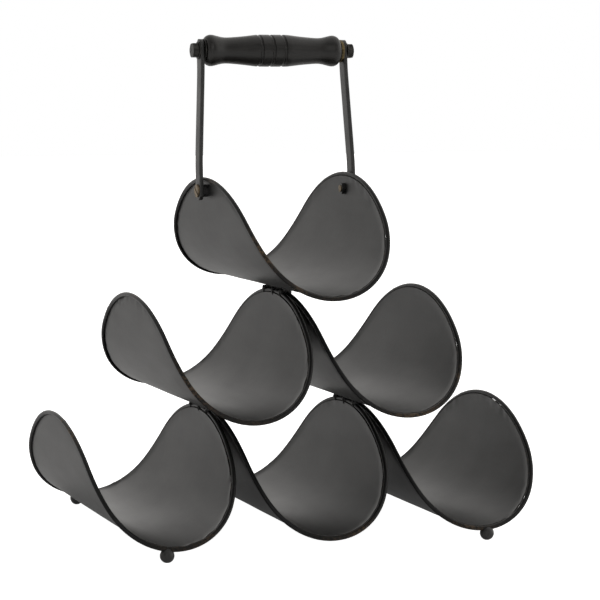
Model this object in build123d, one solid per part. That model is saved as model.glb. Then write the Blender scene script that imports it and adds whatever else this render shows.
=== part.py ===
from build123d import *
import math
import os

# Six-bottle wine rack with a swinging carry handle, in millimetres.
# X runs along a row of bottles, Y along a bottle with its neck towards -Y,
# and Z is up. The origin is on the surface that the rack stands on, below its
# middle. Six equal cradles stack 3, 2 and 1. Each is a flat oval sheet bent
# into a U, with a round wire along its whole rim.

# Stack: the two lower rows. The top cradle is alone on them, and slightly rolled
# about the pivots' axis, left side low.
ROWS = (
    ("bottom", ("_left", "_centre", "_right")),
    ("middle", ("_left", "_right")),
)
PITCH = 115.0
TIER_RISE = 84.4
TOP_ROLL = 1.4

# Cradle: the flat oval, and how the U bends along its length. The rim wire
# follows the oval's line. The sheet's middle lies SHEET_INSIDE within the U
# from that line, and its edge reaches RIM_BITE into the wire.
HALF_LENGTH = 109.7
HALF_DEPTH = 120.5
SHEET = 1.0
SHEET_INSIDE = 0.5
WIRE_R = 1.6
RIM_BITE = 0.4
TROUGH_SHARE = 0.50
WALL_SHARE = 0.25
TROUGH_ANGLE = 62.9
WALL_ANGLE = 20.3
LIP_ANGLE = 1.6
RIM_SPANS = 24
OUTLINE_POINTS = 12
MARGIN = 10.0

# Ball feet, welded under the rim wires of the two outer bottom cradles
FOOT_R = 5.1
FOOT_DROP = 3.8
FOOT_INSET = 0.9
FOOT_FLAT = 0.3
FOOT_LEFT_X = -122.4
FOOT_RIGHT_X = 117.9
FOOT_SIDES = (("left", -PITCH, FOOT_LEFT_X), ("right", PITCH, FOOT_RIGHT_X))

# Weld beads where two lips meet under the trough of the next tier: balls of
# BEAD_R, cut off level at the middle of that trough's sheet
BEAD_R = 2.7
BEAD_DROP = 1.4
BEAD_YS = (-19.0, -2.0, 18.0)

# Handle arms: flat bars that stand upright at both ends and slant in between
PIVOT_RISE = 70.9
ARM_X = 59.65
ARM_TOP_X = 55.9
ARM_T = 3.0
ARM_W = 10.6
ARM_LEAN = 5.0
ARM_LENGTH = 102.6
ARM_FOOT_STRAIGHT = 20.0
ARM_HEAD_STRAIGHT = 13.0
ARM_FOOT_END = 6.9
ARM_HEAD_END = 8.3

# Pivots: screw through arm, spacer and cradle wall into a nut inside. The wall's
# place at the pivot's height is found to within WALL_SEARCH.
PIVOT_R = 2.5
RUNNING_GAP = 0.05
AXIAL_GAP = 0.1
SPACER_R = 4.6
SCREW_HEAD_R = 4.8
SCREW_HEAD_T = 1.3
SCREW_HEAD_DOME = 0.5
SLOT_W = 1.2
SLOT_DEPTH = 0.6
SLOT_TILT = 35.0
PIVOT_NUT_FLATS = 8.0
PIVOT_NUT_T = 2.6
SCREW_END = 0.8
WALL_SEARCH = 1e-6

# Hexagons have corners cut back to a share of their radius, and chamfered ends
HEX_CORNER_SHARE = 0.985
HEX_CHAMFER = 0.45

# Grip: turned wood on a through bolt
GRIP_HALF = 52.3
GRIP_SHIFT = -0.7
GRIP_CENTRE_X = 11.0
GRIP_CENTRE_R = 11.85
GRIP_BELLY_X = 22.0
GRIP_BELLY_R = 10.65
GRIP_NECK_X = 35.0
GRIP_NECK_R = 9.6
GRIP_BULGE_X = 47.4
GRIP_BULGE_R = 11.5
GRIP_END_R = 8.6
GROOVE_PITCH = 9.3
GROOVE_R = 0.9
GROOVE_DEPTH = 0.6
BOLT_R = 3.0
BOLT_FLATS = 10.0
BOLT_HEAD_T = 4.4
WASHER_R = 6.4
WASHER_T = 0.9
END_WASHER_R = 8.4
LEFT_END_WASHER_T = 0.8
RIGHT_END_WASHER_T = 2.2
END_WASHER_GAP = 0.15

BASE_Z = FOOT_R - FOOT_FLAT + FOOT_DROP
BENDS = (
    (TROUGH_SHARE * HALF_LENGTH, math.radians(TROUGH_ANGLE)),
    (WALL_SHARE * HALF_LENGTH, math.radians(WALL_ANGLE)),
    ((1 - TROUGH_SHARE - WALL_SHARE) * HALF_LENGTH, math.radians(LIP_ANGLE)),
)
OUTER_FACE = SHEET / 2 - SHEET_INSIDE
INNER_FACE = OUTER_FACE - SHEET
TOP_TROUGH_Z = BASE_Z + 2 * TIER_RISE
PIVOT_PLACE = Pos(0, 0, TOP_TROUGH_Z + PIVOT_RISE)
PIVOT_TO_TOP = Rot(Y=-TOP_ROLL) * Pos(0, 0, -PIVOT_RISE)
TO_HANDLE = PIVOT_PLACE * Rot(X=-ARM_LEAN)
GRIP_PLACE = Pos(0, 0, ARM_LENGTH)


def save(name, shape):
    export_step(shape, f"parts/{name}.step")


def across(s):
    """X, Z and slope of the oval's line, s along the bend from the trough."""
    x, z, turned, left = 0.0, 0.0, 0.0, abs(s)
    for length, turn in BENDS:
        step = min(left, length)
        radius = length / turn
        ahead = turned + step / radius
        x += radius * (math.sin(ahead) - math.sin(turned))
        z += radius * (math.cos(turned) - math.cos(ahead))
        turned, left = ahead, left - step
    return math.copysign(x, s), z, math.copysign(turned, s)


def bend_line(shift):
    """Half of the U from the trough out, moved outwards by shift."""
    line = Curve()
    start, heading = Vector(0, -shift), Vector(1, 0)
    for length, turn in BENDS:
        arc = JernArc(start, heading, length / turn + shift, math.degrees(turn))
        line += arc
        start, heading = arc @ 1, arc % 1
    return line


def u_face(outer, inner):
    """The U's section between two offsets, standing in the XZ plane."""
    outside, inside = bend_line(outer), bend_line(inner)
    lip = Line(outside @ 1, inside @ 1)
    middle = Line(inside @ 0, outside @ 0)
    half = make_face([*outside.edges(), lip, *inside.edges(), middle])
    return Plane.XZ * (half + mirror(half, Plane.YZ))


def inside_of_cradle(shift):
    """The space between the walls, as far out as shift from the oval's line."""
    wall = bend_line(shift)
    top = Line(wall @ 1, (0, (wall @ 1).Y))
    middle = Line(top @ 1, wall @ 0)
    half = make_face([*wall.edges(), top, middle])
    return extrude(Plane.XZ * (half + mirror(half, Plane.YZ)), HALF_DEPTH, both=True)


def side_outline():
    """The oval's edge from the side, just inside the rim wire."""
    length, depth = HALF_LENGTH - WIRE_R + RIM_BITE, HALF_DEPTH - WIRE_R + RIM_BITE
    points = []
    for i in range(OUTLINE_POINTS + 1):
        angle = math.pi / 2 * (1 - i / OUTLINE_POINTS)
        points.append((depth * math.sin(angle), across(length * math.cos(angle))[1]))
    rise = length**2 * BENDS[0][1] / (BENDS[0][0] * depth)
    edge = Spline(*points, tangents=[(-1, rise), (-1, 0)])
    below = Line(edge @ 0, (edge @ 0) + Vector(SHEET / 2, -SHEET))
    floor = Line(below @ 1, (0, -SHEET))
    middle = Line(floor @ 1, edge @ 1)
    half = make_face([edge, below, floor, middle])
    return Plane.YZ * (half + mirror(half, Plane.YZ))


def cradle_sheet():
    trough = extrude(u_face(OUTER_FACE, INNER_FACE), HALF_DEPTH + MARGIN, both=True)
    return trough & extrude(side_outline(), PITCH / 2 + MARGIN, both=True)


def rim_station(angle):
    """Point and heading of the rim wire's middle, at an angle round the oval."""
    s = HALF_LENGTH * math.cos(angle)
    x, z, slope = across(s)
    ds, dy = -HALF_LENGTH * math.sin(angle), HALF_DEPTH * math.cos(angle)
    heading = Vector(ds * math.cos(slope), dy, ds * math.sin(slope))
    return Vector(x, HALF_DEPTH * math.sin(angle), z), heading.normalized()


def two_arcs(first, second):
    """Two arcs that leave one station and reach the next, tangent all the way."""
    (p, t), (q, u) = first, second
    chord, spread = q - p, 2 * (1 - t.dot(u))
    along = chord.dot(t + u)
    reach = (math.sqrt(along**2 + spread * chord.dot(chord)) - along) / spread
    before, after = p + t * reach, q - u * reach
    middle = (before + after) / 2
    return TangentArc(p, middle, tangent=t), TangentArc(middle, q, tangent=after - before)


def rim_wire():
    stations = [rim_station(2 * math.pi * i / RIM_SPANS) for i in range(RIM_SPANS)]
    arcs = []
    for first, second in zip(stations, stations[1:] + stations[:1]):
        arcs.extend(two_arcs(first, second))
    path = Wire(arcs)
    return sweep(Plane(origin=path @ 0, z_dir=path % 0) * Circle(WIRE_R), path)


def cradle_places():
    """Name and trough position of each cradle, from the bottom row up."""
    for tier, (row, places) in enumerate(ROWS):
        for i, place in enumerate(places):
            x = (i - (len(places) - 1) / 2) * PITCH
            yield row, place, Pos(x, 0, BASE_Z + tier * TIER_RISE)
    yield "top", "", PIVOT_PLACE * PIVOT_TO_TOP


def foot_ball():
    """A ball with a small flat below, cut off level under the sheet."""
    height = BASE_Z - OUTER_FACE
    slab = Box(4 * FOOT_R, 4 * FOOT_R, height)
    return Sphere(FOOT_R) & Pos(0, 0, height / 2 + FOOT_DROP - BASE_Z) * slab


def foot_places():
    """Node name, cradle position and place of each ball foot."""
    for side, trough_x, x in FOOT_SIDES:
        for end, sign in (("front", -1), ("back", 1)):
            y = sign * (HALF_DEPTH - FOOT_INSET)
            yield f"foot_{end}_{side}", trough_x, Pos(x, y, BASE_Z - FOOT_DROP)


def crest_places():
    """Where two lips meet below a trough: node name and position."""
    for row, place, where in cradle_places():
        if row == "middle":
            yield f"middle_weld{place}", where
    yield "top_weld", Pos(0, 0, TOP_TROUGH_Z)


def weld_beads():
    """The beads of one joint, in the frame of the cradle above it."""
    beads = [Pos(0, y, -BEAD_DROP) * Sphere(BEAD_R) for y in BEAD_YS]
    below = Pos(0, 0, SHEET / 2 - BEAD_R * 2) * Box(4 * BEAD_R, PITCH, 4 * BEAD_R)
    return [bead & below for bead in beads]


def mirrored(shape, side):
    """A right-hand shape, or its mirror image for the left."""
    return shape if side == "right" else mirror(shape, Plane.YZ)


def lying(radius, start, end):
    """A round bar along X from start to end."""
    bar = Rot(Y=90) * Cylinder(radius, end - start)
    return Pos((start + end) / 2, 0, 0) * bar


def hexagon_bar(flats, start, end):
    """A hexagon along X, measured across its flats."""
    corner_r = flats / math.sqrt(3)
    prism = extrude(Plane.YZ * RegularPolygon(corner_r, 6), end - start)
    rounded = lying(corner_r * HEX_CORNER_SHARE, start, end)
    return Pos(start, 0, 0) * prism & chamfer(rounded.edges(), HEX_CHAMFER)


def arm():
    """The right arm in the handle's own frame, pivot at the origin."""
    low, high = -ARM_FOOT_END, ARM_LENGTH + ARM_HEAD_END
    heights = (low, ARM_FOOT_STRAIGHT, ARM_LENGTH - ARM_HEAD_STRAIGHT, high)
    xs = (ARM_X, ARM_X, ARM_TOP_X, ARM_TOP_X)
    outer = [(x + ARM_T / 2, z) for x, z in zip(xs, heights)]
    inner = [(x - ARM_T / 2, z) for x, z in zip(xs, heights)]
    strip = make_face(Polyline(*outer, *reversed(inner), close=True))
    bar = extrude(Plane.XZ * strip, ARM_W, both=True)
    slot = SlotOverall(high - low, ARM_W, rotation=90)
    side = Plane.YZ * Pos(0, (high + low) / 2) * slot
    bar = bar & extrude(side, PITCH)
    bar -= lying(PIVOT_R + RUNNING_GAP, 0, PITCH)
    return bar - GRIP_PLACE * lying(BOLT_R + RUNNING_GAP, 0, PITCH)


def inside_of_top(shift):
    """The space inside the top cradle, seen from the pivots' axis."""
    return PIVOT_TO_TOP * inside_of_cradle(shift)


def pivot_spacer(side):
    """Collar between the cradle's wall and the arm."""
    face = ARM_X - ARM_T / 2 - AXIAL_GAP
    collar = lying(SPACER_R, PITCH / 4, face) - lying(PIVOT_R + RUNNING_GAP, 0, face)
    return mirrored(collar, side) - inside_of_top(OUTER_FACE)


def pivot_nut(side):
    """Nut whose outer face lies on the curved inside of the wall."""
    wall = across_wall() + INNER_FACE
    bar = hexagon_bar(PIVOT_NUT_FLATS, wall - PIVOT_NUT_T, ARM_X)
    bar -= lying(PIVOT_R, 0, PITCH)
    return mirrored(bar, side) & inside_of_top(INNER_FACE)


def across_wall():
    """X of the oval's line at the pivot's height."""
    low, high = 0.0, HALF_LENGTH
    while high - low > WALL_SEARCH:
        s = (low + high) / 2
        low, high = (s, high) if across(s)[1] < PIVOT_RISE else (low, s)
    return across(low)[0]


def pivot_screw(side):
    """Slotted screw that clamps the arm; its end stands out of the nut."""
    seat = ARM_X + ARM_T / 2 + AXIAL_GAP
    head = lying(SCREW_HEAD_R, seat, seat + SCREW_HEAD_T)
    head = fillet(head.edges().sort_by(Axis.X)[-1], SCREW_HEAD_DOME)
    slot = Box(SLOT_DEPTH, 2 * SCREW_HEAD_R, SLOT_W)
    head -= Pos(seat + SCREW_HEAD_T - SLOT_DEPTH / 2, 0, 0) * Rot(X=SLOT_TILT) * slot
    end = across_wall() + INNER_FACE - PIVOT_NUT_T - SCREW_END
    return mirrored(head + lying(PIVOT_R, end, seat), side)


def pivot_hole():
    """The bar cut out of both walls of the top cradle."""
    return PIVOT_PLACE * lying(PIVOT_R + RUNNING_GAP, -PITCH, PITCH)


def grip():
    """The turned grip about X, in the handle's own frame at the bolt."""
    half = [
        (GRIP_CENTRE_X, GRIP_CENTRE_R),
        (GRIP_BELLY_X, GRIP_BELLY_R),
        (GRIP_NECK_X, GRIP_NECK_R),
        (GRIP_BULGE_X, GRIP_BULGE_R),
    ]
    points = [(-x, r) for x, r in reversed(half)] + half
    skin = Spline(*points, tangents=[(1, 0), (1, 0)])
    right = TangentArc(skin @ 1, (GRIP_HALF, GRIP_END_R), tangent=(1, 0))
    left = TangentArc(skin @ 0, (-GRIP_HALF, GRIP_END_R), tangent=(-1, 0))
    bore = BOLT_R + RUNNING_GAP
    sides = Polyline(right @ 1, (GRIP_HALF, bore), (-GRIP_HALF, bore), left @ 1)
    section = make_face([skin, right, left, *sides.edges()])
    for i in (-1, 0, 1):
        centre = Pos(i * GROOVE_PITCH, GRIP_CENTRE_R + GROOVE_R - GROOVE_DEPTH)
        section -= centre * Circle(GROOVE_R)
    return Pos(GRIP_SHIFT, 0, 0) * revolve(section, Axis.X)


def ring(outer_r, start, end):
    """A washer round the grip's bolt."""
    return lying(outer_r, start, end) - lying(BOLT_R + RUNNING_GAP, start, end)


def grip_hardware():
    """Bolt, nut and washers along the grip, in the handle's frame at the bolt."""
    face = ARM_TOP_X + ARM_T / 2
    seat = face + WASHER_T
    inner = ARM_TOP_X - ARM_T / 2 - END_WASHER_GAP
    head = mirror(hexagon_bar(BOLT_FLATS, seat, seat + BOLT_HEAD_T), Plane.YZ)
    nut_end = seat + BOLT_HEAD_T
    return {
        "grip_bolt": head + lying(BOLT_R, -seat, nut_end),
        "grip_nut": hexagon_bar(BOLT_FLATS, seat, nut_end) - lying(BOLT_R, 0, PITCH),
        "bolt_washer_left": ring(WASHER_R, -seat, -face),
        "bolt_washer_right": ring(WASHER_R, face, seat),
        "end_washer_left": ring(END_WASHER_R, -inner, LEFT_END_WASHER_T - inner),
        "end_washer_right": ring(END_WASHER_R, inner - RIGHT_END_WASHER_T, inner),
    }


def build_stack():
    sheet, rim = cradle_sheet(), rim_wire()
    for row, place, where in cradle_places():
        bent = where * sheet
        if row == "top":
            bent -= pivot_hole()
        save(f"{row}_cradle{place}", bent)
        save(f"{row}_rim{place}", where * rim)
    for name, trough_x, where in foot_places():
        save(name, where * foot_ball() - Pos(trough_x, 0, BASE_Z) * rim)
    for name, where in crest_places():
        save(name, where * Compound(children=weld_beads()))


def build_pivots():
    for side in ("left", "right"):
        save(f"pivot_spacer_{side}", PIVOT_PLACE * pivot_spacer(side))
        save(f"pivot_nut_{side}", PIVOT_PLACE * pivot_nut(side))
        save(f"pivot_screw_{side}", PIVOT_PLACE * pivot_screw(side))


def build_handle():
    bar = arm()
    for side in ("left", "right"):
        save(f"handle_arm_{side}", TO_HANDLE * mirrored(bar, side))
    save("grip", TO_HANDLE * GRIP_PLACE * grip())
    for name, shape in grip_hardware().items():
        save(name, TO_HANDLE * GRIP_PLACE * shape)


os.makedirs("parts", exist_ok=True)
build_stack()
build_pivots()
build_handle()
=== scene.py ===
import bpy
import math
import random
from mathutils import Matrix, Vector, noise


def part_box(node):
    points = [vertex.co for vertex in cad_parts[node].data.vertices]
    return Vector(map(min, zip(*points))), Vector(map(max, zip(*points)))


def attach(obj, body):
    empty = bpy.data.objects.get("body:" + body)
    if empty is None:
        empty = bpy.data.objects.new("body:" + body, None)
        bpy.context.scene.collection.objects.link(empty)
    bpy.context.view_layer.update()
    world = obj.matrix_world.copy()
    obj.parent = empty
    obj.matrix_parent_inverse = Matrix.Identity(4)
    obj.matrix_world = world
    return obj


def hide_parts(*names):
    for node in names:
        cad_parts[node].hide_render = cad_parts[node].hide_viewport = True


# Six-bottle wine rack with a swinging handle. Lengths in the tables are in
# millimetres, and MM turns them into metres.

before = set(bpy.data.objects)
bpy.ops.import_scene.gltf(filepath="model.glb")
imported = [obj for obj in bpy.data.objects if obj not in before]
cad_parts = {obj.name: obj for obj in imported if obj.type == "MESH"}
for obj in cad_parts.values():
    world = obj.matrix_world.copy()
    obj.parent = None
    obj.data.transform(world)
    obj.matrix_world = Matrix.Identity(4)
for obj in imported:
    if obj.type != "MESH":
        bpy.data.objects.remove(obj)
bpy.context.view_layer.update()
MM = 0.001

# Camera
CAMERA_TARGET = Vector((0.018559, 0.0, 0.165638))
CAMERA_DISTANCE = 1.771792
CAMERA_AZIMUTH = math.radians(-20.293)
CAMERA_ELEVATION = math.radians(5.347)
CAMERA_ROLL = math.radians(0.066)
CAMERA_LENS = 142.56

# Cradle: a flat oval, its half length shared out over three bends from the trough.
# SHEET_SHORT is how far the outer and inner faces stop short of the wire's line.
HALF_LENGTH = 109.7
HALF_DEPTH = 120.5
BENDS = ((54.85, 62.9), (27.425, 20.3), (27.425, 1.6))
SHEET_OUTSIDE = 0.0
SHEET_INSIDE = -1.0
SHEET_SHORT = (1.2, 1.75)
SHEET_MIDDLE = 0.5
DISH = 0.8
DENTS = 14
WIRE_R = 1.58
WIRE_CAD = 1.6
SHEET_CELLS = 88
WIRE_STATIONS = 288
WIRE_SIDES = 14

# The top cradle is slightly rolled about the pivots' axis, left side low
TOP_ROLL = math.radians(1.4)
PIVOT_RISE = 70.9
ARM_LEAN = math.radians(5.0)
ARM_LENGTH = 102.6

# Weld tacks: place along the joint, width and length of each
TACKS = ((-19.0, 2.5, 3.6), (-2.0, 2.4, 3.2), (18.0, 2.5, 3.8))

# Grip: turned profile as distance from the middle and radius
GRIP_PROFILE = (
    (0.0, 11.78), (4.0, 11.78), (8.0, 11.76), (11.5, 11.7), (14.5, 11.4), (18.0, 11.0),
    (22.5, 10.5), (28.5, 9.95),
    (35.0, 9.55), (39.2, 9.8), (43.4, 10.75), (46.4, 11.4), (48.6, 11.4), (50.6, 10.6), (51.9, 9.3),
    (52.25, 8.4),
)
GRIP_GROOVES = (-10.8, -1.6, 7.5)
GROOVE_HALF = 1.3
GROOVE_DEPTH = 1.05
GRIP_SHIFT = -0.7

# Arm: a flat bar, upright at both ends and slanting in between
ARM_THICK = 3.0
ARM_WIDE = 10.6
ARM_LOW, ARM_HIGH = -6.9, 110.9
ARM_XS = (55.9, 59.65)
ARM_BEND_LOW, ARM_BEND_HIGH = 20.0, 89.6
BEND_SOFTNESS = 0.07

# Washers round the grip's bolt: node, X of both faces on the right, radius
WASHERS = (
    ("bolt_washer_left", -58.3, -57.4, 6.4),
    ("bolt_washer_right", 57.4, 58.3, 6.4),
    ("end_washer_left", -54.25, -53.45, 8.4),
    ("end_washer_right", 52.05, 54.25, 8.4),
)

# Rim wires: where each one's butt weld is, as an angle round the oval
SEAM_ANGLE = 0.35
SEAMS = {"bottom_rim_left": 3.36, "middle_rim_left": 2.6, "bottom_rim_centre": 1.2}

# Stretches of rim with paint rubbed through: angle round the oval, half width, strength
COMMON_RUBS = ((4.70, 0.12, 0.2),)
RUBS = {
    "top_rim": ((4.12, 0.13, 0.9), (4.45, 0.06, 0.5), (3.30, 0.06, 0.6)),
    "middle_rim_right": ((4.75, 0.16, 0.8), (5.2, 0.06, 0.5)),
    "middle_rim_left": ((4.25, 0.16, 0.8), (3.25, 0.06, 0.5)),
    "bottom_rim_left": ((3.36, 0.02, 1.0), (3.55, 0.10, 0.7), (4.9, 0.08, 0.4)),
    "bottom_rim_centre": ((4.9, 0.10, 0.5),),
    "bottom_rim_right": ((4.6, 0.10, 0.6),),
}

# Room: its brightness by direction, and the range of each direction's share that it
# changes over. The dim side is where a camera stands.
ROOM_BRIGHT = 1.0
ROOM_DIM = 0.12
ROOM_TINT = (1.0, 0.982, 0.955, 1)
DIM_SIDE = (-0.25, -0.95, 0.15)
DIM_RANGE = (0.2, 0.9)
OVERHEAD = 0.62
OVERHEAD_RANGE = (0.15, 0.7)
LEFT_SHARE = 0.62
RIGHT_SHARE = 1.5
ACROSS_RANGE = (-0.5, 0.4)
SOFT_LIGHT = (-0.30, -0.86, 0.42)
LIGHT_RANGE = (0.90, 0.985)
LIGHT_STRENGTH = 1.05

# Floor: half its width in metres, its grey, and its glow for all but camera rays
FLOOR_HALF = 8.0
FLOOR_GREY = 0.85
FLOOR_GLOW = 0.15


def across(s):
    """X, Z and slope of the oval's line, s along the bend from the trough."""
    x, z, turned, left = 0.0, 0.0, 0.0, abs(s)
    for length, degrees in BENDS:
        turn = math.radians(degrees)
        step = min(left, length)
        radius = length / turn
        ahead = turned + step / radius
        x += radius * (math.sin(ahead) - math.sin(turned))
        z += radius * (math.cos(turned) - math.cos(ahead))
        turned, left = ahead, left - step
    return math.copysign(x, s), z, math.copysign(turned, s)


def level_trough(rim):
    """Where a level cradle's trough line stands, from its rim wire's box."""
    low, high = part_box(rim)
    return Vector(((low[0] + high[0]) / 2, (low[1] + high[1]) / 2, low[2] + WIRE_CAD * MM))


def pivot_place():
    """The point between the two pivots, above the trough line of a level top cradle."""
    low = level_trough("bottom_rim_centre")
    step = level_trough("middle_rim_left").z - low.z
    return Matrix.Translation(low + Vector((0, 0, 2 * step + PIVOT_RISE * MM)))


def cradle_frame(name):
    """The placing matrix of a cradle, its origin on its trough line."""
    if not name.startswith("top"):
        return Matrix.Translation(level_trough(name.replace("cradle", "rim")))
    sink = Matrix.Translation((0, 0, -PIVOT_RISE * MM))
    return pivot_place() @ Matrix.Rotation(-TOP_ROLL, 4, "Y") @ sink


def handle_frame():
    """The handle's own frame, its origin between the two pivots."""
    return pivot_place() @ Matrix.Rotation(-ARM_LEAN, 4, "X")


def grip_frame():
    return handle_frame() @ Matrix.Translation((0, 0, ARM_LENGTH * MM))


# Meshes


def new_piece(name, points, faces, attributes=(), sharp=40.0):
    mesh = bpy.data.meshes.new(name)
    mesh.from_pydata([tuple(p) for p in points], [], faces)
    mesh.validate()
    for label, values in attributes:
        layer = mesh.attributes.new(label, "FLOAT", "POINT")
        layer.data.foreach_set("value", values)
    mesh.polygons.foreach_set("use_smooth", [True] * len(mesh.polygons))
    mesh.set_sharp_from_angle(angle=math.radians(sharp))
    mesh.update()
    piece = bpy.data.objects.new(name, mesh)
    bpy.context.scene.collection.objects.link(piece)
    return piece


def wander(point, size, seed):
    """A smooth random value about 0 at a point, with features of that size."""
    shift = Vector((seed * 17.3, seed * 5.1, seed * 9.7))
    return noise.noise(Vector(point) / size + shift)


def sheet_piece(name, seed):
    """The bent oval sheet with its shallow dents and crinkled cut edge."""
    rng = random.Random(seed)
    dents = [
        (rng.uniform(-80, 80), rng.uniform(-90, 90), rng.uniform(9, 22), rng.uniform(-0.13, 0.13))
        for _ in range(DENTS)
    ]
    cells = SHEET_CELLS
    flat = []
    for j in range(cells + 1):
        for i in range(cells + 1):
            u, v = 2 * i / cells - 1, 2 * j / cells - 1
            flat.append((u * math.sqrt(1 - v * v / 2), v * math.sqrt(1 - u * u / 2)))
    points, edge = [], []
    for offset, short in zip((SHEET_OUTSIDE, SHEET_INSIDE), SHEET_SHORT):
        half_l, half_d = HALF_LENGTH - short, HALF_DEPTH - short
        for p, q in flat:
            s, y = p * half_l, q * half_d
            x, z, slope = across(s)
            reach = math.hypot(p, q)
            near = max(0.0, (reach - 0.94) / 0.06)
            crinkled = max(0.0, wander((s, y, 0), 45, seed + 7) + 0.15)
            push = offset - DISH * near**2
            for ds, dy, size, deep in dents:
                push += deep * math.exp(-((s - ds) ** 2 + (y - dy) ** 2) / size**2)
            push += 0.12 * wander((s, y, 0), 38, seed)
            push += near * (0.10 + 1.5 * crinkled) * wander((s, y, 0), 6.0, seed + 3)
            points.append(Vector((x + push * math.sin(slope), y, z - push * math.cos(slope))))
            edge.append(reach)
    size = cells + 1
    faces = []
    for layer, flip in ((0, False), (size * size, True)):
        for j in range(cells):
            for i in range(cells):
                a = layer + j * size + i
                quad = (a, a + 1, a + size + 1, a + size)
                faces.append(quad if flip else quad[::-1])
    ring = list(range(size))
    ring += [j * size + cells for j in range(1, size)]
    ring += [cells * size + i for i in range(cells - 1, -1, -1)]
    ring += [j * size for j in range(cells - 1, 0, -1)]
    for a, b in zip(ring, ring[1:] + ring[:1]):
        faces.append((a, b, b + size * size, a + size * size))
    where = cradle_frame(name)
    points = [where @ (p * MM) for p in points]
    return new_piece(name + "_skin", points, faces, [("reach", edge)])


def rim_frame(angle):
    """Middle, outward direction of the sheet, and heading of the wire."""
    s = HALF_LENGTH * math.cos(angle)
    x, z, slope = across(s)
    ds, dy = -HALF_LENGTH * math.sin(angle), HALF_DEPTH * math.cos(angle)
    heading = Vector((ds * math.cos(slope), dy, ds * math.sin(slope))).normalized()
    out = Vector((math.sin(slope), 0, -math.cos(slope)))
    return Vector((x, HALF_DEPTH * math.sin(angle), z)), out, heading


def rim_piece(name, seed, rubs):
    """The rim wire, slightly uneven, with its butt weld and rubbed stretches."""
    seam = SEAMS.get(name, SEAM_ANGLE)
    where = cradle_frame(name)
    points, wear = [], []
    for k in range(WIRE_STATIONS):
        angle = 2 * math.pi * k / WIRE_STATIONS
        middle, out, heading = rim_frame(angle)
        side = heading.cross(out)
        swell = 0.16 * math.exp(-(((angle - seam) / 0.012) ** 2))
        rub = 0.0
        for at, wide, strong in rubs:
            away = (angle - at + math.pi) % (2 * math.pi) - math.pi
            rub = max(rub, strong * math.exp(-((away / wide) ** 2)))
        for n in range(WIRE_SIDES):
            turn = 2 * math.pi * n / WIRE_SIDES
            arrow = out * math.cos(turn) + side * math.sin(turn)
            radius = WIRE_R + 0.035 * wander(middle + arrow * 1.6, 2.5, seed) + swell
            points.append(where @ ((middle + arrow * radius) * MM))
            wear.append(rub)
    faces = []
    for k in range(WIRE_STATIONS):
        ahead = (k + 1) % WIRE_STATIONS
        for n in range(WIRE_SIDES):
            m = (n + 1) % WIRE_SIDES
            a, b = k * WIRE_SIDES + n, k * WIRE_SIDES + m
            c, d = ahead * WIRE_SIDES + m, ahead * WIRE_SIDES + n
            faces.append((a, b, c, d))
    return new_piece(name + "_wire", points, faces, [("rub", wear)])


def ball(rings, sides):
    """Directions and faces of a ball, ring by ring from below, without its two caps."""
    arrows, faces = [], []
    for r in range(rings + 1):
        lat = math.pi * r / rings - math.pi / 2
        flat = math.cos(lat)
        for k in range(sides):
            turn = 2 * math.pi * k / sides
            arrows.append(Vector((flat * math.cos(turn), flat * math.sin(turn), math.sin(lat))))
    for r in range(rings):
        for k in range(sides):
            a, b = r * sides + k, r * sides + (k + 1) % sides
            faces.append((a, b, b + sides, a + sides))
    return arrows, faces


def blob(centre, radii, seed, rough, rings=14, sides=20, drip=0.0):
    """An uneven rounded lump: points and faces. drip pulls its lower side down."""
    arrows, faces = ball(rings, sides)
    points = []
    for d in arrows:
        swell = 1 + rough * wander(d * 3 + Vector(centre), 2.2, seed)
        p = Vector((d.x * radii[0], d.y * radii[1], d.z * radii[2])) * swell
        if d.z < 0:
            p.z -= drip * max(0.0, -d.z) ** 3
        points.append(Vector(centre) + p)
    faces.append(tuple(range(sides - 1, -1, -1)))
    top = rings * sides
    faces.append(tuple(top + k for k in range(sides)))
    return points, faces


def joined(name, lumps, where, attributes=(), sharp=60.0):
    points, faces = [], []
    for p, f in lumps:
        base = len(points)
        points += [where + q * MM for q in p]
        faces += [tuple(base + i for i in g) for g in f]
    return new_piece(name, points, faces, attributes, sharp)


def tack_piece(name, seed):
    """Three rough tacks with a run of weld metal down between the two lips."""
    low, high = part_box(name)
    where = Vector(((low[0] + high[0]) / 2, 0, high[2] - SHEET_MIDDLE * MM))
    rng = random.Random(seed)
    lumps = []
    for y, wide, long in TACKS:
        y += rng.uniform(-0.6, 0.6)
        lumps.append(blob((rng.uniform(-0.3, 0.3), y, -1.9), (wide, long, 2.1), seed, 0.35))
        for side in (-1, 1):
            lump = (side * 3.3, y + rng.uniform(-1, 1), -3.4)
            size = (1.8, long * rng.uniform(0.4, 0.6), 2.2)
            lumps.append(blob(lump, size, seed + side, 0.3, drip=rng.uniform(1.4, 3.4)))
    return joined(name + "_bead", lumps, where)


def foot_piece(name, seed):
    """A ball with a small flat below and a collar of weld up to the wire."""
    low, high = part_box(name)
    radius = (high[0] - low[0]) / 2 / MM
    middle = Vector(((low[0] + high[0]) / 2, (low[1] + high[1]) / 2, 0))
    height = radius - 0.3
    arrows, faces = ball(30, 40)
    points = []
    for d in arrows:
        p = d * (radius - 0.03 + 0.03 * wander(d * 5, 2.0, seed))
        p.z = max(p.z, -height)
        points.append(p + Vector((0, 0, height)))
    collar = blob((0, 0, height + radius - 1.2), (2.6, 3.0, 1.3), seed, 0.3)
    return joined(name + "_ball", [(points, faces), collar], middle)


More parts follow.
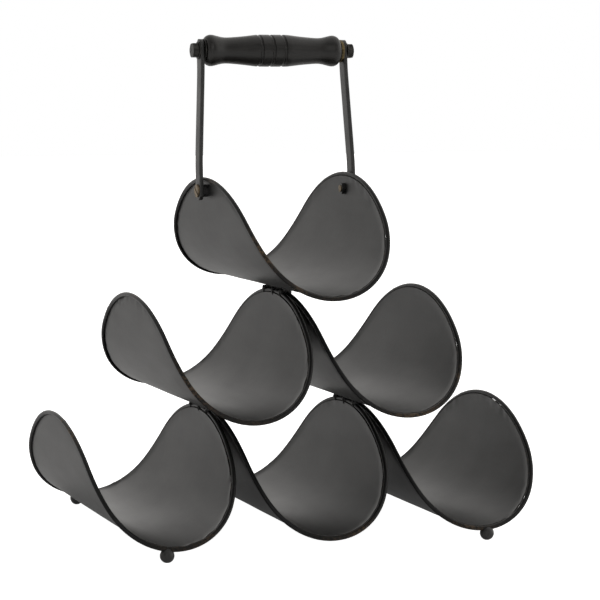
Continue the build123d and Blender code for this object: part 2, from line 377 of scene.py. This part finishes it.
def lathe(name, profile, where, seed=0, rough=0.0, sides=96, bore=0.0):
    """A turned piece about X from (x, radius) pairs, closed round its bore."""
    rows = [(profile[0][0], bore)] + list(profile) + [(profile[-1][0], bore)]
    points, faces = [], []
    for x, radius in rows:
        for k in range(sides):
            turn = 2 * math.pi * k / sides
            d = Vector((0, math.cos(turn), math.sin(turn)))
            r = radius + rough * wander(Vector((x, 0, 0)) + d * radius, 9.0, seed)
            points.append(where @ ((Vector((x, 0, 0)) + d * r) * MM))
    count = len(rows)
    for r in range(count):
        for k in range(sides):
            m = (k + 1) % sides
            below = ((r + 1) % count) * sides
            faces.append((r * sides + m, r * sides + k, below + k, below + m))
    return new_piece(name, points, faces, sharp=35.0)


def smooth_profile(table, steps):
    """Points along a Catmull-Rom line through a table of pairs."""
    rows = []
    pts = [Vector(p) for p in table]
    pts = [pts[0] * 2 - pts[1]] + pts + [pts[-1] * 2 - pts[-2]]
    for a, b, c, d in zip(pts, pts[1:], pts[2:], pts[3:]):
        for k in range(steps):
            t = k / steps
            rows.append(
                (b * 2 + (c - a) * t + (a * 2 - b * 5 + c * 4 - d) * t * t
                 + (b * 3 - a - c * 3 + d) * t**3) / 2
            )
    rows.append(pts[-2])
    return rows


def grip_piece():
    half = smooth_profile(GRIP_PROFILE, 7)
    rows = [(-p.x, p.y) for p in reversed(half[1:])] + [(p.x, p.y) for p in half]
    fine = []
    for (x0, r0), (x1, r1) in zip(rows, rows[1:]):
        parts = 8 if abs(x0) < 15 and abs(x1) < 15 else 1
        for k in range(parts):
            t = k / parts
            fine.append((x0 + (x1 - x0) * t, r0 + (r1 - r0) * t))
    fine.append(rows[-1])
    cut = []
    for x, r in fine:
        for at in GRIP_GROOVES:
            share = max(0.0, 1 - ((x - at) / GROOVE_HALF) ** 2)
            r -= GROOVE_DEPTH * math.sqrt(share)
        cut.append((x, r))
    where = grip_frame() @ Matrix.Translation((GRIP_SHIFT * MM, 0, 0))
    return lathe("grip_turned", cut, where, 4, 0.05, 112, 3.0)


def washer_piece(name, start, end, radius):
    half = (end - start) / 2
    curl = min(0.3, half * 0.6)
    profile = [(-half, radius - curl)]
    for k in range(1, 6):
        a = math.pi / 2 * k / 5
        x = -half + curl * (1 - math.cos(a))
        profile.append((x, radius - curl * (1 - math.sin(a))))
    profile += [(-x, r) for x, r in reversed(profile)]
    where = grip_frame() @ Matrix.Translation(((start + end) / 2 * MM, 0, 0))
    return lathe(name + "_turned", profile, where, 7, 0.03, 64, 3.05)


def arm_x(z):
    """X of the bar's middle, upright at both ends and slanting in between."""
    top_x, low_x = ARM_XS
    share = (z - ARM_BEND_LOW) / (ARM_BEND_HIGH - ARM_BEND_LOW)
    eased = (math.hypot(share, BEND_SOFTNESS) - math.hypot(share - 1, BEND_SOFTNESS) + 1) / 2
    return low_x + (top_x - low_x) * min(1.0, max(0.0, eased))


def arm_piece(name):
    """The bar with rounded ends, eased edges and soft bends."""
    sign = 1 if name.endswith("right") else -1
    stations, sides = 150, 28
    length = ARM_HIGH - ARM_LOW
    points = []
    for k in range(stations + 1):
        share = k / stations
        z = ARM_LOW + length * (1 - math.cos(math.pi * share)) / 2
        x = arm_x(z)
        half = ARM_WIDE / 2
        from_end = min(z - ARM_LOW, ARM_HIGH - z)
        if from_end < half:
            half = math.sqrt(max(0.0, half**2 - (half - from_end) ** 2))
        half = max(half, 0.02)
        thick = ARM_THICK / 2
        for n in range(sides):
            turn = 2 * math.pi * (n + 0.5) / sides
            c, s = math.cos(turn), math.sin(turn)
            y = math.copysign(abs(c) ** 0.18, c) * half
            t = math.copysign(abs(s) ** 0.32, s) * thick
            t += 0.03 * wander((y, z, 0), 14.0, 5 + sign)
            points.append(Vector((sign * (x + t), y, z)))
    faces = []
    for k in range(stations):
        for n in range(sides):
            m = (n + 1) % sides
            a, b = k * sides + n, k * sides + m
            quad = (a, b, b + sides, a + sides)
            faces.append(quad if sign > 0 else quad[::-1])
    faces.append(tuple(range(sides)) if sign < 0 else tuple(reversed(range(sides))))
    top = stations * sides
    cap = tuple(top + n for n in range(sides))
    faces.append(cap if sign > 0 else cap[::-1])
    where = handle_frame()
    points = [where @ (p * MM) for p in points]
    return new_piece(name + "_bar", points, faces, sharp=50.0)


# Materials


class Nodes:
    """Short calls for making one material's nodes."""

    def __init__(self, name):
        self.material = bpy.data.materials.new(name)
        self.material.use_nodes = True
        self.tree = self.material.node_tree
        self.shader = self.tree.nodes["Principled BSDF"]
        self.place = self.add("ShaderNodeTexCoord").outputs["Object"]

    def add(self, kind, **settings):
        node = self.tree.nodes.new(kind)
        for key, value in settings.items():
            setattr(node, key, value)
        return node

    def link(self, source, target):
        self.tree.links.new(source, target)

    def stretched(self, scale):
        node = self.add("ShaderNodeMapping")
        node.inputs["Scale"].default_value = scale
        self.link(self.place, node.inputs["Vector"])
        return node.outputs["Vector"]

    def noise(self, scale, detail=3.0, rough=0.55, vector=None):
        node = self.add("ShaderNodeTexNoise")
        node.inputs["Scale"].default_value = scale
        node.inputs["Detail"].default_value = detail
        node.inputs["Roughness"].default_value = rough
        self.link(vector or self.place, node.inputs["Vector"])
        return node.outputs["Fac"]

    def spread(self, value, low, high, to_low, to_high):
        node = self.add("ShaderNodeMapRange")
        for key, number in (
            ("From Min", low), ("From Max", high), ("To Min", to_low), ("To Max", to_high)
        ):
            node.inputs[key].default_value = number
        self.link(value, node.inputs["Value"])
        return node.outputs["Result"]

    def attribute(self, label):
        return self.add("ShaderNodeAttribute", attribute_name=label).outputs["Fac"]

    def math(self, operation, a, b):
        node = self.add("ShaderNodeMath", operation=operation)
        for socket, value in zip(node.inputs, (a, b)):
            if isinstance(value, (int, float)):
                socket.default_value = value
            else:
                self.link(value, socket)
        return node.outputs["Value"]

    def blend(self, factor, a, b):
        node = self.add("ShaderNodeMix", data_type="RGBA")
        self.link(factor, node.inputs["Factor"])
        for socket, value in ((node.inputs["A"], a), (node.inputs["B"], b)):
            if isinstance(value, tuple):
                socket.default_value = (*value, 1.0)
            else:
                self.link(value, socket)
        return node.outputs["Result"]

    def bumps(self, *layers):
        """Layers of (height, distance in metres), stacked."""
        normal = None
        for height, distance in layers:
            node = self.add("ShaderNodeBump")
            node.inputs["Distance"].default_value = distance
            self.link(height, node.inputs["Height"])
            if normal:
                self.link(normal, node.inputs["Normal"])
            normal = node.outputs["Normal"]
        self.link(normal, self.shader.inputs["Normal"])

    def finish(self, color, roughness, metallic=0.0, specular=0.5):
        self.link(color, self.shader.inputs["Base Color"])
        self.link(roughness, self.shader.inputs["Roughness"])
        self.shader.inputs["Metallic"].default_value = metallic
        self.shader.inputs["Specular IOR Level"].default_value = specular
        return self.material


def coat(name, base=(0.021, 0.021, 0.021), rough=0.40, worn=None, specular=0.5):
    """Satin black powder coat: fine orange peel, cloudy sheen, faint dust and wear."""
    n = Nodes(name)
    cloud = n.noise(38.0, 4.0)
    fine = n.noise(1500.0, 2.0)
    peel = n.noise(700.0, 2.0)
    streak = n.noise(60.0, 3.0, 0.6, n.stretched((1.0, 0.25, 1.0)))
    lighter = tuple(c * 1.6 + 0.004 for c in base)
    color = n.blend(n.spread(cloud, 0.35, 0.7, 0.0, 1.0), base, lighter)
    speck = n.spread(n.noise(900.0, 1.0), 0.72, 0.78, 0.0, 0.5)
    color = n.blend(speck, color, (0.085, 0.08, 0.072))
    roughness = n.spread(streak, 0.3, 0.7, rough - 0.05, rough + 0.06)
    if worn:
        label, tone = worn
        patchy = n.spread(n.noise(420.0, 4.0, 0.65), 0.42, 0.62, 0.0, 1.0)
        mask = n.math("MULTIPLY", n.attribute(label), patchy)
        color = n.blend(mask, color, tone)
        roughness = n.math("ADD", roughness, n.math("MULTIPLY", mask, 0.18))
    n.bumps((peel, 0.00003), (fine, 0.000014), (n.noise(90.0, 3.0), 0.00012))
    return n.finish(color, roughness, specular=specular)


def sheet_coat():
    """The coat on the sheets, darker and rubbed by their cut edge."""
    n = Nodes("sheet_coat")
    cloud = n.noise(30.0, 4.0)
    color = n.blend(
        n.spread(cloud, 0.3, 0.75, 0.0, 1.0), (0.011, 0.011, 0.011), (0.018, 0.0177, 0.0174)
    )
    rim = n.spread(n.attribute("reach"), 0.985, 1.0, 0.0, 1.0)
    chipped = n.spread(n.noise(350.0, 4.0, 0.65), 0.5, 0.68, 0.0, 0.55)
    color = n.blend(n.math("MULTIPLY", rim, chipped), color, (0.10, 0.078, 0.055))
    speck = n.spread(n.noise(800.0, 1.0), 0.73, 0.79, 0.0, 0.4)
    color = n.blend(speck, color, (0.08, 0.075, 0.068))
    streak = n.noise(45.0, 4.0, 0.6, n.stretched((1.0, 0.3, 1.0)))
    roughness = n.spread(streak, 0.25, 0.75, 0.375, 0.435)
    peel, fine, waves = n.noise(650.0, 2.0), n.noise(1500.0, 2.0), n.noise(70.0, 3.0)
    n.bumps((peel, 0.00003), (fine, 0.000012), (waves, 0.00008))
    return n.finish(color, roughness, specular=0.47)


def wood():
    """Black-stained turned wood: fine grain along the grip, soft polish."""
    n = Nodes("stained_wood")
    grain = n.noise(420.0, 5.0, 0.6, n.stretched((0.07, 1.0, 1.0)))
    pores = n.noise(1600.0, 3.0, 0.6, n.stretched((0.09, 1.0, 1.0)))
    share = n.spread(grain, 0.35, 0.68, 0.0, 1.0)
    color = n.blend(share, (0.0055, 0.0051, 0.0047), (0.0145, 0.0130, 0.0115))
    rings = n.noise(260.0, 2.0, 0.5, n.stretched((1.0, 0.05, 0.05)))
    roughness = n.spread(grain, 0.3, 0.7, 0.34, 0.46)
    n.bumps((grain, 0.00005), (pores, 0.00003), (rings, 0.00004))
    return n.finish(color, roughness, specular=0.5)


def metal(name, dark, light, rough, scale=260.0):
    """Aged metal with a mottled tarnish and fine turning marks."""
    n = Nodes(name)
    mottle = n.noise(scale, 5.0, 0.62)
    color = n.blend(n.spread(mottle, 0.38, 0.62, 0.0, 1.0), dark, light)
    roughness = n.spread(n.noise(scale * 2, 3.0), 0.3, 0.7, rough - 0.08, rough + 0.14)
    n.bumps((n.noise(900.0, 3.0), 0.00003), (mottle, 0.00005))
    return n.finish(color, roughness, metallic=0.85)


def dress(piece, material):
    piece.data.materials.clear()
    piece.data.materials.append(material)


# The rack


def build_rack():
    sheet_paint = sheet_coat()
    rubbed = ("rub", (0.13, 0.088, 0.052))
    wire_paint = coat("wire_coat", (0.006, 0.006, 0.006), 0.34, rubbed, specular=0.2)
    for seed, name in enumerate(sorted(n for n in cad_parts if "_cradle" in n)):
        piece = sheet_piece(name, seed + 1)
        dress(piece, sheet_paint)
        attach(piece, "rack")
        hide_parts(name)
    for seed, name in enumerate(sorted(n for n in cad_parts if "_rim" in n)):
        piece = rim_piece(name, seed + 11, RUBS.get(name, ()) + COMMON_RUBS)
        dress(piece, wire_paint)
        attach(piece, "rack")
        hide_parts(name)
    bead_paint = coat("weld_coat", (0.016, 0.016, 0.016), 0.46)
    for seed, name in enumerate(("middle_weld_left", "middle_weld_right", "top_weld")):
        piece = tack_piece(name, seed + 31)
        dress(piece, bead_paint)
        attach(piece, "rack")
        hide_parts(name)
    foot_paint = coat("foot_coat", (0.013, 0.013, 0.013), 0.42)
    for seed, name in enumerate(sorted(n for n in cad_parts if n.startswith("foot_"))):
        piece = foot_piece(name, seed + 41)
        dress(piece, foot_paint)
        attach(piece, "rack")
        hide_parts(name)


def build_handle():
    arm_paint = coat("arm_coat", (0.022, 0.022, 0.0215), 0.38)
    for name in ("handle_arm_left", "handle_arm_right"):
        piece = arm_piece(name)
        dress(piece, arm_paint)
        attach(piece, "handle")
        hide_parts(name)
    piece = grip_piece()
    dress(piece, wood())
    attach(piece, "grip")
    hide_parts("grip")
    brass = metal("aged_brass", (0.05, 0.038, 0.018), (0.20, 0.155, 0.075), 0.42)
    black = metal("blackened_steel", (0.018, 0.018, 0.018), (0.06, 0.058, 0.054), 0.40)
    for name, start, end, radius in WASHERS:
        piece = washer_piece(name, start, end, radius)
        dress(piece, brass if name == "end_washer_right" else black)
        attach(piece, "handle")
        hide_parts(name)
    for name in ("grip_bolt", "grip_nut"):
        carry_over(name, black)
    bronze = metal("screw_bronze", (0.11, 0.08, 0.05), (0.34, 0.27, 0.18), 0.45, 420.0)
    pivot_paint = coat("pivot_coat", (0.014, 0.014, 0.014), 0.40)
    for side in ("left", "right"):
        carry_over("pivot_screw_" + side, bronze)
        carry_over("pivot_spacer_" + side, pivot_paint)
        carry_over("pivot_nut_" + side, pivot_paint)


def carry_over(name, material):
    """A CAD piece that stays, with its edges eased and a new material."""
    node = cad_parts[name]
    dress(node, material)
    ease = node.modifiers.new("eased", "BEVEL")
    ease.width = 0.18 * MM
    ease.segments = 2
    ease.limit_method = "ANGLE"
    ease.angle_limit = math.radians(40)
    ease.use_clamp_overlap = True


# Studio


def add_camera():
    a, e = CAMERA_AZIMUTH, CAMERA_ELEVATION
    back = Vector((math.sin(a) * math.cos(e), -math.cos(a) * math.cos(e), math.sin(e)))
    level = Vector((0, 0, 1)).cross(back).normalized()
    upright = back.cross(level)
    right = level * math.cos(CAMERA_ROLL) + upright * math.sin(CAMERA_ROLL)
    up = upright * math.cos(CAMERA_ROLL) - level * math.sin(CAMERA_ROLL)
    data = bpy.data.cameras.new("camera")
    data.lens = CAMERA_LENS
    data.sensor_width = 36.0
    camera = bpy.data.objects.new("camera", data)
    bpy.context.scene.collection.objects.link(camera)
    turn = Matrix((right, up, back)).transposed().to_4x4()
    camera.matrix_world = Matrix.Translation(CAMERA_TARGET + back * CAMERA_DISTANCE) @ turn
    bpy.context.scene.camera = camera


def add_world():
    """A white room with the dim side that a camera stands on, and one soft light in it."""
    world = bpy.data.worlds.new("studio")
    bpy.context.scene.world = world
    world.use_nodes = True
    tree = world.node_tree
    background = tree.nodes["Background"]
    direction = tree.nodes.new("ShaderNodeTexCoord").outputs["Generated"]

    def ramp(value, low, high, to_low, to_high):
        node = tree.nodes.new("ShaderNodeMapRange")
        node.interpolation_type = "SMOOTHSTEP"
        for key, number in (
            ("From Min", low), ("From Max", high), ("To Min", to_low), ("To Max", to_high)
        ):
            node.inputs[key].default_value = number
        tree.links.new(value, node.inputs["Value"])
        return node.outputs["Result"]

    def towards(vector):
        node = tree.nodes.new("ShaderNodeVectorMath")
        node.operation = "DOT_PRODUCT"
        tree.links.new(direction, node.inputs[0])
        node.inputs[1].default_value = vector
        return node.outputs["Value"]

    def combine(operation, a, b):
        node = tree.nodes.new("ShaderNodeMath")
        node.operation = operation
        tree.links.new(a, node.inputs[0])
        tree.links.new(b, node.inputs[1])
        return node.outputs["Value"]

    room = ramp(towards(DIM_SIDE), *DIM_RANGE, ROOM_BRIGHT, ROOM_DIM)
    above = ramp(towards((0, 0, 1)), *OVERHEAD_RANGE, 1.0, OVERHEAD)
    across_room = ramp(towards((1, 0, 0)), *ACROSS_RANGE, LEFT_SHARE, RIGHT_SHARE)
    room = combine("MULTIPLY", room, across_room)
    lamp = ramp(towards(SOFT_LIGHT), *LIGHT_RANGE, 0.0, LIGHT_STRENGTH)
    total = combine("ADD", combine("MULTIPLY", room, above), lamp)
    ray = tree.nodes.new("ShaderNodeLightPath").outputs["Is Camera Ray"]
    seen = tree.nodes.new("ShaderNodeMix")
    tree.links.new(ray, seen.inputs["Factor"])
    tree.links.new(total, seen.inputs["A"])
    seen.inputs["B"].default_value = 1.0
    tree.links.new(seen.outputs["Result"], background.inputs["Strength"])
    tint = tree.nodes.new("ShaderNodeMix")
    tint.data_type = "RGBA"
    tree.links.new(ray, tint.inputs["Factor"])
    tint.inputs["A"].default_value = ROOM_TINT
    tint.inputs["B"].default_value = (1, 1, 1, 1)
    tree.links.new(tint.outputs["Result"], background.inputs["Color"])


def add_floor():
    mesh = bpy.data.meshes.new("floor")
    far = FLOOR_HALF
    corners = [(-far, -far, 0), (far, -far, 0), (far, far, 0), (-far, far, 0)]
    mesh.from_pydata(corners, [], [(0, 1, 2, 3)])
    floor = bpy.data.objects.new("floor", mesh)
    bpy.context.scene.collection.objects.link(floor)
    material = bpy.data.materials.new("paper_floor")
    material.use_nodes = True
    tree = material.node_tree
    shader = tree.nodes["Principled BSDF"]
    shader.inputs["Base Color"].default_value = (FLOOR_GREY, FLOOR_GREY, FLOOR_GREY, 1)
    shader.inputs["Roughness"].default_value = 0.9
    shader.inputs["Emission Color"].default_value = (1, 1, 1, 1)
    ray = tree.nodes.new("ShaderNodeLightPath").outputs["Is Camera Ray"]
    glow = tree.nodes.new("ShaderNodeMapRange")
    glow.inputs["To Min"].default_value = FLOOR_GLOW
    tree.links.new(ray, glow.inputs["Value"])
    tree.links.new(glow.outputs["Result"], shader.inputs["Emission Strength"])
    dress(floor, material)


bpy.context.scene.view_settings.view_transform = "Standard"
add_camera()
add_world()
add_floor()
build_rack()
build_handle()
